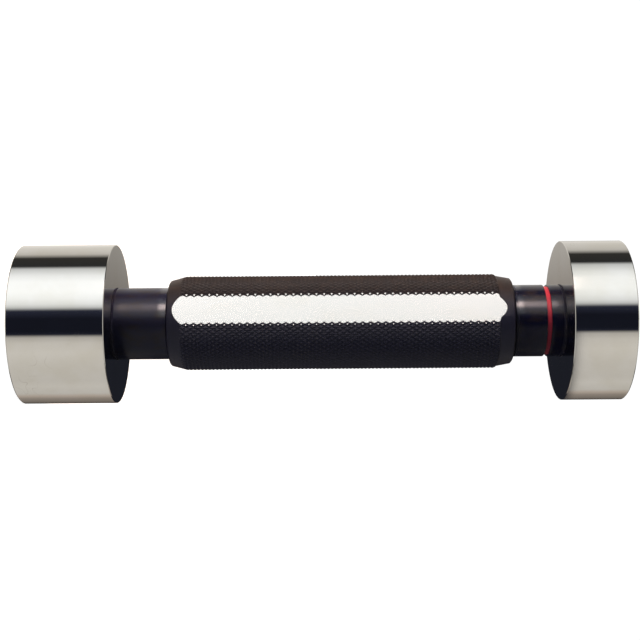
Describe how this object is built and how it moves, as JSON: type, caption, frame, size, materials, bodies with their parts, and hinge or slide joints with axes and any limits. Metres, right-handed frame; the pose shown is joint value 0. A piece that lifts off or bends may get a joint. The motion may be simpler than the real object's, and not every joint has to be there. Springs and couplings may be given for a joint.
{
  "type": "plain plug gauge",
  "caption": "Double-ended plain plug gauge: a long GO cylinder and a short NO-GO cylinder with a red band, on a black knurled handle with a bright marking flat.",
  "frame": {"origin": "centre of the GO member's outer face, on which the gauge stands", "axes": "+Z along the gauge's axis, from the GO member towards the NO-GO member; the marking flat faces -Y"},
  "size_m": [0.05, 0.05, 0.1876],
  "materials": {
    "blackened_steel": "satin",
    "lapped_steel": "polished",
    "red_lacquer": "gloss"
  },
  "bodies": {
    "root": {"handle": "blackened_steel", "go_member": "lapped_steel", "no_go_member": "lapped_steel", "colour_band": "red_lacquer"}
  },
  "joints": []
}
